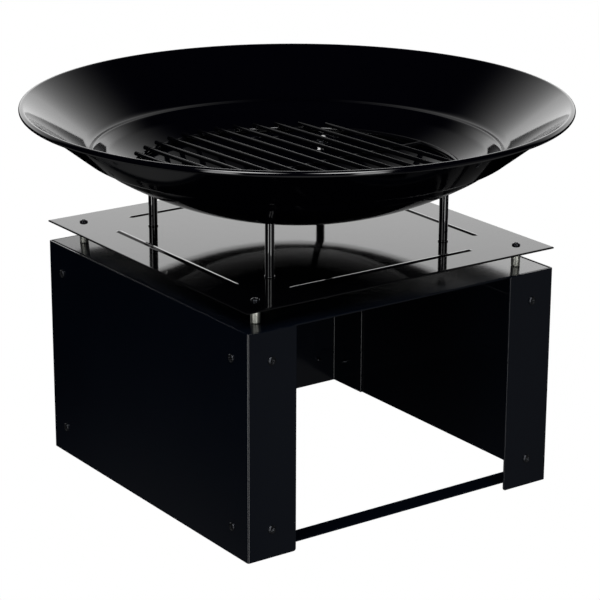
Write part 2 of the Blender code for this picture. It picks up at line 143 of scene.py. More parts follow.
def folded_sheet(path, low, high, corner=0.0, edge=SHEET_EDGE, trims=()):
    """Grid of a sheet that follows a path and stands from low to high. Its section across the
    path is a rectangle with rounded corners; near low and high the same section is drawn in by
    edge * (1 - sin a) to round the rim, and its free ends are cut back on a circle of the corner
    radius. trims are (level, cut) pairs that shorten both ends beyond a level."""
    half = SHEET / 2
    angles = np.radians([0, 22.5, 45, 67.5, 90])
    rim_level = np.concatenate([[0, 0], edge * (1 - np.cos(angles)), [edge + EDGE_FLAT]])
    rim_inset = np.concatenate([[half, edge + EDGE_FLAT / 2], edge * (1 - np.sin(angles)), [0]])
    corner_level = corner * (1 - np.cos(np.radians([30, 45, 60, 75, 90]))) if corner else []
    trim_level = [level - low for level, _ in trims]
    levels = np.unique(np.concatenate([rim_level[2:], corner_level, trim_level]))
    middle = levels[levels > edge + EDGE_FLAT + 1e-9]
    rise = np.concatenate([rim_level, middle])
    inset = np.concatenate([rim_inset, np.zeros(len(middle))])
    rise = np.concatenate([low + rise, (high - rise)[::-1]])
    inset = np.concatenate([inset, inset[::-1]])
    order = np.argsort(rise, kind="stable")
    rise, inset = rise[order], inset[order]
    if rise[0] == rise[1] and inset[0] < inset[1]:
        inset[[0, 1]] = inset[[1, 0]]
    if rise[-1] == rise[-2] and inset[-1] < inset[-2]:
        inset[[-2, -1]] = inset[[-1, -2]]
    near = np.minimum(rise - low, high - rise)
    cut = np.where(near < corner, corner - np.sqrt(np.maximum(corner**2 - (corner - near) ** 2, 0)), 0)
    for level, amount in trims:
        cut = np.where(rise > level + 1e-9, cut + amount, cut)
    length = path[-1, 0]
    stations = np.concatenate([[PATH_END_FLAT], path[1:-1, 0], [length - PATH_END_FLAT]])
    rows = []
    for level, draw, short in zip(rise, inset, cut):
        round_off = max(edge - draw, 0)
        thick = max(half - draw, 0)
        first = short + draw
        last = length - short - draw
        run = np.clip(stations, first + round_off, last - round_off)
        end = np.radians([90, 67.5, 45, 22.5, 0])
        tip_s = last - round_off + round_off * np.cos(end)
        tip_n = thick - round_off + round_off * np.sin(end)
        tail_s = first + round_off - round_off * np.cos(end)
        s = np.concatenate([run, tip_s, tip_s[::-1], run[::-1], tail_s, tail_s[::-1]])
        n = np.concatenate([np.full(len(run), thick), tip_n, -tip_n[::-1],
                            np.full(len(run), -thick), -tip_n, tip_n[::-1]])
        plan = [np.interp(s, path[:, 0], path[:, k]) for k in (1, 2, 3, 4)]
        rows.append(np.column_stack([plan[0] + n * plan[2], plan[1] + n * plan[3],
                                     np.full(len(s), level)]))
    return np.array(rows), True


# Polyester powder coat over steel, smooth and fairly glossy, with orange peel 2 to 3 mm across and
# a finer grain. To the eye it is a blue-black sheet whose reflections are soft and faintly broken.
powder_coat, tree, shader = new_material("satin_black_powder_coat")
place = add_node(tree, "ShaderNodeTexCoord").outputs["Object"]
cloud = add_node(tree, "ShaderNodeTexNoise", {"Scale": 9.0, "Detail": 3.0}, {"Vector": place})
grain = add_node(tree, "ShaderNodeTexNoise", {"Scale": 900.0, "Detail": 2.0}, {"Vector": place})
peel = add_node(tree, "ShaderNodeTexNoise", {"Scale": 420.0, "Detail": 1.0}, {"Vector": place})
tone = add_node(tree, "ShaderNodeMix", {"data_type": "RGBA", 6: linear("#02040A"), 7: linear("#04070E")},
                {"Factor": cloud.outputs["Fac"]})
tree.links.new(tone.outputs[2], shader.inputs["Base Color"])
gloss = add_node(tree, "ShaderNodeMapRange", {"To Min": 0.12, "To Max": 0.18},
                 {"Value": grain.outputs["Fac"]})
tree.links.new(gloss.outputs["Result"], shader.inputs["Roughness"])
skin = add_node(tree, "ShaderNodeBump", {"Strength": 0.12, "Distance": 0.0002},
                {"Height": peel.outputs["Fac"]})
tree.links.new(skin.outputs["Normal"], shader.inputs["Normal"])
shader.inputs["IOR"].default_value = 1.5

for side, word in ((-1, "left"), (1, "right")):
    wall = BASE_HALF - SHEET / 2
    corners = [(side * FLANGE_INNER, wall), (side * wall, wall), (side * wall, -wall),
               (side * FLANGE_INNER, -wall)]
    panel = make_piece(f"{word}_folded_side_panel",
                       [folded_sheet(folded_path(corners, FOLD_RADIUS), 0, BASE_TOP, CORNER_ROUND)],
                       powder_coat)
    finish_piece(panel, "stand", "base_powder_coat", f"{word}_side_panel")

# ================================================================ back panel
# A U-shaped sheet nested inside the side panels, its two edges folded forward. It is screwed
# through the side panels and their back flanges, and closes the back of the log store.

NESTED = BASE_HALF - SHEET - FIT_GAP
nested_wall = NESTED - SHEET / 2
corners = [(-nested_wall, FLANGE_INNER), (-nested_wall, nested_wall), (nested_wall, nested_wall),
           (nested_wall, FLANGE_INNER)]
back = make_piece("folded_back_panel",
                  [folded_sheet(folded_path(corners, FOLD_RADIUS), 0, BASE_TOP - SHEET - FIT_GAP)],
                  powder_coat)
finish_piece(back, "stand", "base_powder_coat", "back_panel")

# ================================================================ top panel
# The lid of the log store: one sheet laid flush with the side panels, its sides folded down
# inside them and two tabs folded down behind the front flanges.

SKIRT_BOTTOM = 0.200
SKIRT_BACK = FLANGE_INNER - 2 * FIT_GAP    # where the side skirts end, short of the back panel
SKIRT_FLAT = 0.0002           # what is left of a skirt beside the fold where it ends
TAB_PLACE = 0.176
TAB_HALF_WIDTH = 0.019


def lay_down(grid):
    """Turn a grid made standing up so that its height runs along Y and its plan lies in X and Z."""
    points, closed = grid
    return points[..., [0, 2, 1]], closed


def plate_block(low, high, edge=SHEET_EDGE):
    """Grid of a flat upright sheet between two corners, with rounded rims."""
    middle = (low[1] + high[1]) / 2
    path = folded_path([(low[0], middle), (high[0], middle)], 0)
    return folded_sheet(path, low[2], high[2], edge=edge)


lid_height = BASE_TOP - SHEET / 2
corners = [(-nested_wall, SKIRT_BOTTOM), (-nested_wall, lid_height), (nested_wall, lid_height),
           (nested_wall, SKIRT_BOTTOM)]
lid_path = folded_path(corners, FOLD_RADIUS)
skirt = lid_height - SKIRT_BOTTOM
lid_sheet = lay_down(folded_sheet(lid_path, -NESTED, NESTED,
                                  trims=[(SKIRT_BACK, skirt - SKIRT_FLAT), (SKIRT_BACK + 0.0001, 0)]))
tabs = [plate_block((side * TAB_PLACE - TAB_HALF_WIDTH, -NESTED, SKIRT_BOTTOM),
                    (side * TAB_PLACE + TAB_HALF_WIDTH, -NESTED + SHEET, lid_height))
        for side in (-1, 1)]
lid = make_piece("log_store_lid", [lid_sheet, *tabs], powder_coat)
finish_piece(lid, "stand", "base_powder_coat", "top_panel")

# ================================================================ front tie strip
# A strip of the same sheet lying on the ground between the side panels. Its ends are folded up
# inside them, where the lower screws hold them, and keep the open front square.

STRIP_FRONT = -0.182
STRIP_BACK = -0.160
STRIP_TAB_TOP = 0.046
LUG_PLACE = 0.178
LUG_HALF_WIDTH = 0.0175

corners = [(-nested_wall, STRIP_TAB_TOP), (-nested_wall, SHEET / 2), (nested_wall, SHEET / 2),
           (nested_wall, STRIP_TAB_TOP)]
strip_sheet = lay_down(folded_sheet(folded_path(corners, FOLD_RADIUS), STRIP_FRONT, STRIP_BACK))
lugs = [plate_block((side * LUG_PLACE - LUG_HALF_WIDTH, -NESTED, SHEET),
                    (side * LUG_PLACE + LUG_HALF_WIDTH, -NESTED + SHEET, STRIP_TAB_TOP))
        for side in (-1, 1)]
strip = make_piece("ground_tie_strip", [strip_sheet, *lugs], powder_coat)
finish_piece(strip, "stand", "base_powder_coat", "front_tie_strip")

# ================================================================ panel screws
# Sixteen thread-forming pan-head screws, blackened zinc-plated steel with a cross recess. Two
# hold each panel edge; their threaded ends stick out inside the log store.

SCREW_INSET = 0.029
SCREW_LENGTH = 0.011
SHANK_RADIUS = 0.0020
THREAD_PITCH = 0.0013
THREAD_DEPTH = 0.00022
PAN_RADIUS = 0.0044
PAN_HEIGHT = 0.0024
SCREW_LEVELS = {"lower": 0.032, "upper": 0.216}
BASE_CORNERS = {"front_left": (-1, -1), "front_right": (1, -1), "back_left": (-1, 1),
                "back_right": (1, 1)}

# Black zinc plate on steel, mottled by the bath at a millimetre or two. To the eye it is a dark
# grey metal with a small, clear glint on each dome and recess.
black_zinc, tree, shader = new_material("blackened_zinc_screw_steel")
place = add_node(tree, "ShaderNodeTexCoord").outputs["Object"]
mottle = add_node(tree, "ShaderNodeTexNoise", {"Scale": 600.0, "Detail": 3.0}, {"Vector": place})
tone = add_node(tree, "ShaderNodeMix", {"data_type": "RGBA", 6: linear("#2A2B2E"), 7: linear("#3A3C40")},
                {"Factor": mottle.outputs["Fac"]})
tree.links.new(tone.outputs[2], shader.inputs["Base Color"])
gloss = add_node(tree, "ShaderNodeMapRange", {"To Min": 0.16, "To Max": 0.28},
                 {"Value": mottle.outputs["Fac"]})
tree.links.new(gloss.outputs["Result"], shader.inputs["Roughness"])
shader.inputs["Metallic"].default_value = 0.9


def pan_head_screw(shank, length, head, height, pitch=THREAD_PITCH, depth=THREAD_DEPTH):
    """Grids of a screw with its seat at the origin and its head up. Head: a domed disc,
    z = height * (0.4 + 0.6 * sqrt(1 - (r / head) ** 2)), less a cross recess whose arms are
    |x| or |y| < width with ends at reach. Shank: radius shank + depth * ridge(z / pitch - a),
    a helix, drawn in to a blunt tip."""
    turn = np.linspace(0, 2 * np.pi, 48, endpoint=False)
    share = np.concatenate([np.linspace(0, 0.9, 22), np.cos(np.radians([22, 15, 8, 0]))])
    radius = share[:, None] * head * np.ones_like(turn)
    x, y = radius * np.cos(turn), radius * np.sin(turn)
    dome = height * (0.4 + 0.6 * np.sqrt(np.clip(1 - share[:, None] ** 2, 0, 1)))
    width, reach, blur = 0.13 * head, 0.52 * head, 0.07 * head
    near = np.minimum(np.maximum(np.abs(x) - width, np.abs(y) - reach),
                      np.maximum(np.abs(y) - width, np.abs(x) - reach))
    inside = np.clip(0.5 - near / blur, 0, 1)
    inside = inside * inside * (3 - 2 * inside)
    dip = 0.55 * height * inside * np.clip(1.15 - radius / reach, 0.25, 1)
    top = np.stack([x, y, dome - dip], axis=-1)
    skirt = np.stack([np.stack([head * np.cos(turn), head * np.sin(turn),
                                np.full_like(turn, level)], axis=-1)
                      for level in (0.4 * height, 0.15 * height, 0)])
    seat = np.stack([np.stack([r * np.cos(turn), r * np.sin(turn), np.zeros_like(turn)], axis=-1)
                     for r in (head, head * 0.93, shank)])
    steps = max(int(length / pitch * 10), 12)
    fall = np.linspace(0, 1, steps)[:, None]
    phase = fall * length / pitch - turn / (2 * np.pi)
    ridge = np.abs(phase - np.round(phase)) * 2
    taper = np.clip((1 - fall) * length / (2 * shank), 0.55, 1)
    thread = (shank - depth * (1 - ridge) * np.clip(fall * 8, 0, 1)) * taper
    body = np.stack([thread * np.cos(turn), thread * np.sin(turn),
                     -fall * length * np.ones_like(turn)], axis=-1)
    tip = np.stack([body[-1], body[-1] * np.array([0, 0, 1])])
    return [(top, True), (skirt, True), (seat, True), (body, True), (tip, True)]


def turn_and_place(grids, axis, origin):
    """Grids turned so that their +Z points along axis, then moved to origin."""
    axis = np.array(axis, float)
    helper = np.array([0, 0, 1.0]) if abs(axis[2]) < 0.9 else np.array([1.0, 0, 0])
    across = np.cross(helper, axis)
    across /= np.linalg.norm(across)
    basis = np.stack([across, np.cross(axis, across), axis])
    return [(points @ basis + np.array(origin), closed) for points, closed in grids]


def spin_about_z(grids, angle):
    """Grids turned about Z by an angle in radians."""
    c, s = np.cos(angle), np.sin(angle)
    return [(points @ np.array([[c, s, 0], [-s, c, 0], [0, 0, 1]]), closed)
            for points, closed in grids]


panel_screw = pan_head_screw(SHANK_RADIUS, SCREW_LENGTH, PAN_RADIUS, PAN_HEIGHT)
screw_place = BASE_HALF - SCREW_INSET
turns = iter(np.random.default_rng(4).uniform(0, np.pi / 2, 64))
for corner, (side, depth) in BASE_CORNERS.items():
    for level, height in SCREW_LEVELS.items():
        seats = {"side": ((side, 0, 0), (side * BASE_HALF, depth * screw_place, height)),
                 "face": ((0, depth, 0), (side * screw_place, depth * BASE_HALF, height))}
        for face, (axis, seat) in seats.items():
            grids = turn_and_place(spin_about_z(panel_screw, next(turns)), axis, seat)
            screw = make_piece(f"cross_screw_{corner}_{face}_{level}", grids, black_zinc)
            finish_piece(screw, "stand", "fastener_steel", f"panel_screw_{corner}_{face}_{level}")

# ================================================================ plate spacers
# Four short lengths of bright zinc-plated steel tube that hold the heat plate 21 mm above the lid,
# so that air passes between them. The plate screws run through their bores.

SPACER_PLACE = 0.171
SPACER_RADIUS = 0.005
SPACER_BORE = 0.0027
PLATE_TOP = 0.2715
PLATE_THICKNESS = 0.002

# Bright zinc plate on turned steel tube, with turning marks a third of a millimetre apart. To the
# eye it is pale silver with a soft, wide shine and faint rings.
bright_zinc, tree, shader = new_material("bright_zinc_plated_tube")
place = add_node(tree, "ShaderNodeTexCoord").outputs["Object"]
stretch = add_node(tree, "ShaderNodeMapping", {"Scale": (60.0, 60.0, 3000.0)}, {"Vector": place})
rings = add_node(tree, "ShaderNodeTexNoise", {"Scale": 1.0, "Detail": 2.0},
                 {"Vector": stretch.outputs["Vector"]})
tone = add_node(tree, "ShaderNodeMix", {"data_type": "RGBA", 6: linear("#BFC1B8"), 7: linear("#DADBD2")},
                {"Factor": rings.outputs["Fac"]})
tree.links.new(tone.outputs[2], shader.inputs["Base Color"])
gloss = add_node(tree, "ShaderNodeMapRange", {"To Min": 0.40, "To Max": 0.55},
                 {"Value": rings.outputs["Fac"]})
tree.links.new(gloss.outputs["Result"], shader.inputs["Roughness"])
shader.inputs["Metallic"].default_value = 1.0


def turned(profile, sides=48):
    """Grid of a profile of (radius, z) points turned about Z."""
    profile = np.array(profile, float)
    turn = np.linspace(0, 2 * np.pi, sides, endpoint=False)
    radius = profile[:, 0, None]
    return np.stack([radius * np.cos(turn), radius * np.sin(turn),
                     profile[:, 1, None] * np.ones_like(turn)], axis=-1), True


def tube_profile(bore, radius, low, high, edge):
    """Closed section of a tube: bore up, over the top, down the outside and back; outer corners
    are rounded with a quarter circle of radius edge."""
    quarter = np.radians([90, 60, 30, 0])
    top = [(radius - edge + edge * np.cos(a), high - edge + edge * np.sin(a)) for a in quarter]
    bottom = [(r, low + high - z) for r, z in top[::-1]]
    inner = [(bore, low), (bore, low + edge), (bore, high - edge), (bore, high)]
    outer = [top[-1], (radius, high - 2 * edge), (radius, low + 2 * edge), bottom[0]]
    return [*inner, (radius - 2 * edge, high), *top, *outer[1:3], *bottom,
            (radius - 2 * edge, low), (bore, low)]


for corner, (side, depth) in BASE_CORNERS.items():
    grid = turned(tube_profile(SPACER_BORE, SPACER_RADIUS, BASE_TOP + FIT_GAP,
                               PLATE_TOP - PLATE_THICKNESS - FIT_GAP, 0.0004))
    spot = np.array([side * SPACER_PLACE, depth * SPACER_PLACE, 0])
    spacer = make_piece(f"zinc_spacer_{corner}", [(grid[0] + spot, True)], bright_zinc)
    finish_piece(spacer, "stand", "spacer_zinc", f"plate_spacer_{corner}")

# ================================================================ heat plate
# A flat 400 mm square of sheet steel with glossy black vitreous enamel on both sides. A straight
# bead with round ends is pressed up along each edge to keep it flat when it gets hot.

PLATE_HALF = 0.200
PLATE_EDGE = 0.0007
BEAD_PLACE = 0.158
BEAD_REACH = 0.1155
BEAD_HALF_WIDTH = 0.0042
BEAD_RISE = 0.0011

# Vitreous enamel, glass fused on steel, with a very slight ripple 1 to 2 cm across. To the eye it
# is deep black with a wet gloss that mirrors bowl and posts, a little softened.
plate_enamel, tree, shader = new_material("black_vitreous_plate_enamel")
place = add_node(tree, "ShaderNodeTexCoord").outputs["Object"]
ripple = add_node(tree, "ShaderNodeTexNoise", {"Scale": 60.0, "Detail": 2.0}, {"Vector": place})
speck = add_node(tree, "ShaderNodeTexNoise", {"Scale": 1500.0, "Detail": 1.0}, {"Vector": place})
tone = add_node(tree, "ShaderNodeMix", {"data_type": "RGBA", 6: linear("#010102"), 7: linear("#030304")},
                {"Factor": speck.outputs["Fac"]})
tree.links.new(tone.outputs[2], shader.inputs["Base Color"])
gloss = add_node(tree, "ShaderNodeMapRange", {"To Min": 0.045, "To Max": 0.075},
                 {"Value": ripple.outputs["Fac"]})
tree.links.new(gloss.outputs["Result"], shader.inputs["Roughness"])
skin = add_node(tree, "ShaderNodeBump", {"Strength": 0.05, "Distance": 0.0003},
                {"Height": ripple.outputs["Fac"]})
tree.links.new(skin.outputs["Normal"], shader.inputs["Normal"])
shader.inputs["IOR"].default_value = 1.52


def bead_height(x, y):
    """Four beads: the distance d to a straight line |along| < reach, place away from the middle,
    gives height = rise * cos(pi/2 * d / half width) ** 2 inside the half width."""
    height = np.zeros_like(x)
    for across, along in ((x, y), (y, x)):
        for sign in (-1, 1):
            gap = np.hypot(across - sign * BEAD_PLACE, np.maximum(np.abs(along) - BEAD_REACH, 0))
            share = np.clip(gap / BEAD_HALF_WIDTH, 0, 1)
            height = np.maximum(height, BEAD_RISE * np.cos(np.pi / 2 * share) ** 2)
    return height


edge_angle = np.radians([0, 22.5, 45, 67.5, 90])
edge_place = PLATE_HALF - PLATE_EDGE + PLATE_EDGE * np.sin(edge_angle)
edge_drop = PLATE_EDGE * (1 - np.cos(edge_angle))
# Grid lines from the middle outwards, close together round the beads' ends and across the beads.
lines = np.concatenate([
    np.linspace(0, BEAD_REACH - 0.003, 24),
    np.linspace(BEAD_REACH - 0.002, BEAD_REACH + 0.0055, 14),
    np.linspace(0.124, BEAD_PLACE - 0.006, 6),
    np.linspace(BEAD_PLACE - 0.005, BEAD_PLACE + 0.005, 23),
    np.linspace(BEAD_PLACE + 0.007, PLATE_HALF - 0.002, 6),
    edge_place, [PLATE_HALF],
])
drops = np.concatenate([np.zeros(len(lines) - 6), edge_drop, [PLATE_THICKNESS / 2]])
lines = np.concatenate([-lines[:0:-1], lines])
drops = np.concatenate([drops[:0:-1], drops])
x, y = np.meshgrid(lines, lines)
drop = np.maximum(*np.meshgrid(drops, drops))
upper = np.stack([x, y, PLATE_TOP + bead_height(x, y) - drop], axis=-1)
lower = np.stack([x, y, PLATE_TOP - PLATE_THICKNESS + bead_height(x, y) + drop], axis=-1)
plate = make_piece("enamelled_heat_plate", [(upper, False), (lower[::-1], False)], plate_enamel)
finish_piece(plate, "stand", "plate_enamel", "heat_plate")

# ================================================================ plate screws and nuts
# Four cross-recessed machine screws of the same blackened zinc-plated steel. Each goes down through
# plate, spacer and lid into a hexagon nut, which clamps them together.

PLATE_SCREW_HEAD = 0.0046
PLATE_SCREW_HEIGHT = 0.0024
PLATE_SHANK_RADIUS = 0.0022
SCREW_PAST_NUT = 0.0014
NUT_ACROSS = 0.0046
NUT_HEIGHT = 0.0034
NUT_BORE = 0.0027

nut_top = BASE_TOP - SHEET - FIT_GAP
plate_screw = pan_head_screw(PLATE_SHANK_RADIUS, PLATE_TOP - nut_top + NUT_HEIGHT + SCREW_PAST_NUT,
                             PLATE_SCREW_HEAD, PLATE_SCREW_HEIGHT, pitch=0.0008, depth=0.0002)


def hexagon_nut(across, bore, low, high):
    """Grid of a nut: a closed section whose outer radius follows a hexagon,
    r = across * cos(30 deg) / cos(angle within the sixth), with chamfered corners."""
    turn = np.linspace(0, 2 * np.pi, 48, endpoint=False)
    sixth = (turn + np.pi / 6) % (np.pi / 3) - np.pi / 6
    hexagon = across * np.cos(np.pi / 6) / np.cos(sixth)
    levels = [(low, 0.93), (low + 0.0003, 1), (high - 0.0003, 1), (high, 0.93)]
    rings = [(np.full_like(turn, bore), low)]
    rings += [(np.minimum(hexagon, across * share) if share < 1 else hexagon, z)
              for z, share in levels]
    rings += [(np.full_like(turn, bore), high), (np.full_like(turn, bore), low)]
    return [(np.stack([np.stack([r * np.cos(turn), r * np.sin(turn), np.full_like(turn, z)],
                                axis=-1) for r, z in rings]), True)]


for corner, (side, depth) in BASE_CORNERS.items():
    spot = (side * SPACER_PLACE, depth * SPACER_PLACE, PLATE_TOP + FIT_GAP / 3)
    grids = turn_and_place(spin_about_z(plate_screw, next(turns)), (0, 0, 1), spot)
    screw = make_piece(f"plate_cross_screw_{corner}", grids, black_zinc)
    finish_piece(screw, "stand", "fastener_steel", f"plate_screw_{corner}")
    grids = turn_and_place(hexagon_nut(NUT_ACROSS, NUT_BORE, nut_top - NUT_HEIGHT, nut_top),
                           (0, 0, 1), (spot[0], spot[1], 0))
    nut = make_piece(f"hexagon_nut_{corner}", grids, black_zinc)
    finish_piece(nut, "stand", "fastener_steel", f"plate_nut_{corner}")

# ================================================================ fire bowl
# One pressed steel sheet, black vitreous enamel inside and out: a dished floor, a rounded step
# where it turns into the straight flared wall, and a rolled rim. Four flats seat the posts.

FLOOR_SPHERE = 0.405          # outside of the dished floor
BOWL_BOTTOM = 0.2973
BOWL_WALL = 0.002
STEP_PLACES = [0.2095, 0.2130, 0.2190, 0.2226, 0.2256, 0.2345]    # radii where its slope bends
LEDGE_SLOPE = 0.15
WALL_SLOPE = 0.785
RIM_CENTRE = (0.2965, 0.4180)
RIM_ROLL = 0.0035
POST_PLACE = 0.1146
SEAT_UNDERSIDE = 0.3312
SEAT_FLAT = 0.0095
SEAT_BLEND = 0.0150
BOWL_SIDES = 384

# Vitreous enamel again, on a pressed and so slightly wavier sheet. To the eye it is deep black with
# long, smooth reflections that bend sharply at the step and run as thin lines along the rim.
bowl_enamel, tree, shader = new_material("black_vitreous_bowl_enamel")
place = add_node(tree, "ShaderNodeTexCoord").outputs["Object"]
ripple = add_node(tree, "ShaderNodeTexNoise", {"Scale": 45.0, "Detail": 2.0}, {"Vector": place})
speck = add_node(tree, "ShaderNodeTexNoise", {"Scale": 1500.0, "Detail": 1.0}, {"Vector": place})
tone = add_node(tree, "ShaderNodeMix", {"data_type": "RGBA", 6: linear("#010103"), 7: linear("#020205")},
                {"Factor": speck.outputs["Fac"]})
tree.links.new(tone.outputs[2], shader.inputs["Base Color"])
gloss = add_node(tree, "ShaderNodeMapRange", {"To Min": 0.05, "To Max": 0.08},
                 {"Value": ripple.outputs["Fac"]})
tree.links.new(gloss.outputs["Result"], shader.inputs["Roughness"])
skin = add_node(tree, "ShaderNodeBump", {"Strength": 0.04, "Distance": 0.0003},
                {"Height": ripple.outputs["Fac"]})
tree.links.new(skin.outputs["Normal"], shader.inputs["Normal"])
shader.inputs["IOR"].default_value = 1.52


def bowl_floor(radius, sphere):
    """Height of the dished floor: centre height - sqrt(sphere ** 2 - radius ** 2)."""
    return BOWL_BOTTOM + FLOOR_SPHERE - np.sqrt(sphere**2 - radius**2)


def seated(points, seat_height):
    """Blend the floor into a level flat round each post: full within the flat's radius, none
    beyond the blend radius, smooth between."""
    for side, depth in BASE_CORNERS.values():
        gap = np.hypot(points[..., 0] - side * POST_PLACE, points[..., 1] - depth * POST_PLACE)
        share = np.clip((SEAT_BLEND - gap) / (SEAT_BLEND - SEAT_FLAT), 0, 1)
        share = share * share * (3 - 2 * share)
        points[..., 2] += share * (seat_height - points[..., 2])
    return points


def pressed_profile():
    """Inside of the sheet from the middle to the rim. The dished floor ends at the step, where the
    slope is a line through given (radius, slope) points: steep, nearly level, then the wall's.
    The steep part is scaled to close the height left between floor and wall. The floor's rows
    are closest over the posts' flats."""
    sphere = FLOOR_SPHERE - BOWL_WALL
    step_start, step_end = STEP_PLACES[0], STEP_PLACES[-1]
    floor_radius = np.concatenate([np.linspace(0, 0.140, 40), np.linspace(0.1415, 0.183, 42),
                                   np.linspace(0.186, 0.207, 9)])
    step_radius = np.linspace(step_start, step_end, 48)
    roll_normal = np.arctan(WALL_SLOPE) + np.pi / 2
    touch = np.array(RIM_CENTRE) + RIM_ROLL * np.array([np.cos(roll_normal), np.sin(roll_normal)])
    wall_radius = np.linspace(step_end + 0.004, touch[0] - 0.004, 16)
    edge_slope = step_start / np.sqrt(sphere**2 - step_start**2)
    start_height = bowl_floor(step_start, sphere)
    rise = touch[1] - WALL_SLOPE * (touch[0] - step_end) - start_height
    gentle = np.interp(step_radius, STEP_PLACES,
                       [edge_slope, 0, 0, LEDGE_SLOPE, LEDGE_SLOPE, WALL_SLOPE])
    steep = np.interp(step_radius, STEP_PLACES, [0, 1, 1, 0, 0, 0])
    width = np.diff(step_radius, prepend=step_start)
    slope = gentle + steep * (rise - np.sum(gentle * width)) / np.sum(steep * width)
    heights = start_height + np.cumsum(slope * width)
    return np.column_stack([
        np.concatenate([floor_radius, step_radius, wall_radius, touch[:1]]),
        np.concatenate([bowl_floor(floor_radius, sphere), heights,
                        touch[1] - WALL_SLOPE * (touch[0] - wall_radius), touch[1:]])])


inside = pressed_profile()
run = np.gradient(inside, axis=0)
sheet_normal = np.column_stack([run[:, 1], -run[:, 0]]) / np.linalg.norm(run, axis=1)[:, None]
sheet_normal[0] = (0, -1)
outside = (inside + BOWL_WALL * sheet_normal)[:-1]
roll_angle = np.arctan(WALL_SLOPE) + np.radians(np.linspace(90, -205, 26))[1:]
roll = np.column_stack([RIM_CENTRE[0] + RIM_ROLL * np.cos(roll_angle),
                        RIM_CENTRE[1] + RIM_ROLL * np.sin(roll_angle)])
inside_grid = turned(np.concatenate([inside, roll]), BOWL_SIDES)
outside_grid = turned(np.concatenate([outside, roll[-1:]]), BOWL_SIDES)
bowl = make_piece("enamelled_fire_bowl",
                  [(seated(outside_grid[0], SEAT_UNDERSIDE), True),
                   (seated(inside_grid[0], SEAT_UNDERSIDE + BOWL_WALL)[::-1], True)],
                  bowl_enamel, sharp=60)
finish_piece(bowl, "stand", "bowl_enamel", "fire_bowl")

# ================================================================ posts
# Four lengths of gloss black steel tube with threaded bores, screwed on from below the plate and
# bolted through the bowl's flats. A thin collar shows at each foot.

POST_RADIUS = 0.005
POST_BORE = 0.0033
COLLAR_RADIUS = 0.0056
COLLAR_HEIGHT = 0.0013
SHAFT_FOOT = 0.0012           # the shaft starts just inside its collar

# Clear gloss over a black coat on drawn steel, with drawing marks a millimetre apart. To the eye it
# is black with thin highlights that run the whole length.
post_coat, tree, shader = new_material("gloss_black_coated_steel_post")
place = add_node(tree, "ShaderNodeTexCoord").outputs["Object"]
draw = add_node(tree, "ShaderNodeMapping", {"Scale": (900.0, 900.0, 20.0)}, {"Vector": place})
streaks = add_node(tree, "ShaderNodeTexNoise", {"Scale": 1.0, "Detail": 2.0},
                   {"Vector": draw.outputs["Vector"]})
tone = add_node(tree, "ShaderNodeMix", {"data_type": "RGBA", 6: linear("#08080A"), 7: linear("#0D0D10")},
                {"Factor": streaks.outputs["Fac"]})
tree.links.new(tone.outputs[2], shader.inputs["Base Color"])
gloss = add_node(tree, "ShaderNodeMapRange", {"To Min": 0.05, "To Max": 0.10},
                 {"Value": streaks.outputs["Fac"]})
tree.links.new(gloss.outputs["Result"], shader.inputs["Roughness"])
shader.inputs["IOR"].default_value = 1.5
shader.inputs["Coat Weight"].default_value = 1.0
shader.inputs["Coat Roughness"].default_value = 0.05

for corner, (side, depth) in BASE_CORNERS.items():
    spot = np.array([side * POST_PLACE, depth * POST_PLACE, 0])
    shaft = turned(tube_profile(POST_BORE, POST_RADIUS, PLATE_TOP + FIT_GAP + SHAFT_FOOT,
                                SEAT_UNDERSIDE - FIT_GAP, 0.0004))
    collar = turned(tube_profile(POST_BORE, COLLAR_RADIUS, PLATE_TOP + FIT_GAP,
                                 PLATE_TOP + FIT_GAP + COLLAR_HEIGHT, 0.0003))
    post = make_piece(f"bowl_support_post_{corner}",
                      [(shaft[0] + spot, True), (collar[0] + spot, True)], post_coat)
    finish_piece(post, "stand", "post_coat", f"bowl_post_{corner}")

# ================================================================ bowl bolts and post foot screws
# Each post takes a pan-head bolt and a round washer from inside the bowl, and a like screw from
# below the heat plate. All are blackened zinc-plated steel.

WASHER_RADIUS = 0.0088
WASHER_HEIGHT = 0.0012
WASHER_BORE = 0.0033
BOLT_SHANK_RADIUS = 0.0028
BOLT_LENGTH = 0.016
BOLT_HEAD = 0.0056
BOLT_HEIGHT = 0.0032

seat_floor = SEAT_UNDERSIDE + BOWL_WALL
bowl_bolt = pan_head_screw(BOLT_SHANK_RADIUS, BOLT_LENGTH, BOLT_HEAD, BOLT_HEIGHT, pitch=0.001,
                           depth=0.00025)
for corner, (side, depth) in BASE_CORNERS.items():
    spot = np.array([side * POST_PLACE, depth * POST_PLACE, 0])
    ring = turned(tube_profile(WASHER_BORE, WASHER_RADIUS, seat_floor + FIT_GAP / 3,
                               seat_floor + WASHER_HEIGHT, 0.0003))
    washer = make_piece(f"round_washer_{corner}", [(ring[0] + spot, True)], black_zinc)
    finish_piece(washer, "stand", "fastener_steel", f"bowl_washer_{corner}")
    grids = turn_and_place(spin_about_z(bowl_bolt, next(turns)), (0, 0, 1),
                           spot + np.array([0, 0, seat_floor + WASHER_HEIGHT + FIT_GAP / 3]))
    bolt = make_piece(f"bowl_pan_bolt_{corner}", grids, black_zinc)
    finish_piece(bolt, "stand", "fastener_steel", f"bowl_bolt_{corner}")
    grids = turn_and_place(spin_about_z(bowl_bolt, next(turns)), (0, 0, -1),
                           spot + np.array([0, 0, PLATE_TOP - PLATE_THICKNESS - FIT_GAP / 3]))
    foot = make_piece(f"post_foot_bolt_{corner}", grids, black_zinc)
    finish_piece(foot, "stand", "fastener_steel", f"post_foot_screw_{corner}")

# ================================================================ grate
# Loose round grate of enamelled steel wire: parallel bars welded on a ring, and a cross bar under
# them. It lies in the dished floor by its own weight and lifts out for the ash.

